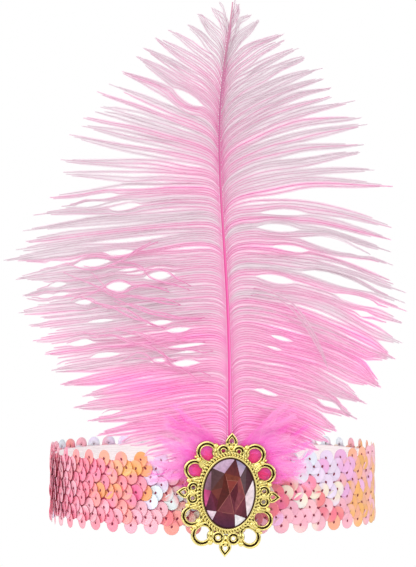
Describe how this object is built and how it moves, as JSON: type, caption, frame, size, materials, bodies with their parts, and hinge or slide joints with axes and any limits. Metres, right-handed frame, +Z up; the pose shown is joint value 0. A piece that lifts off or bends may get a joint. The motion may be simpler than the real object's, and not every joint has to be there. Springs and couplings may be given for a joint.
{
  "type": "feather headpiece",
  "caption": "Sequinned stretch headband with an oval gem brooch in pierced gold filigree and one tall ostrich feather behind it.",
  "frame": {"origin": "centre of the head opening, at half the band's height", "axes": "+Z up along the feather, -Y out of the brooch's face, +X to the right as seen from the front"},
  "size_m": [0.2321, 0.1961, 0.3118],
  "materials": {
    "elastic": "white woven stretch webbing, matt, rose where the sequins are sewn on",
    "sequins": "pearl plastic sequins, glossy",
    "feather_shaft": "dyed horn-like shaft, satin",
    "feather_barbs": "dyed downy barbs, soft and matt",
    "gold": "bright gold plating on a casting",
    "gem": "clear dark plum acrylic, polished",
    "felt": "plain felt pad, matt"
  },
  "bodies": {
    "root": {"elastic_band": "elastic", "sequin_trim": "sequins", "feather_quill": "feather_shaft", "feather_vane_left": "feather_barbs", "feather_vane_right": "feather_barbs", "brooch_setting": "gold", "brooch_stone": "gem", "fixing_pad": "felt"}
  },
  "joints": []
}
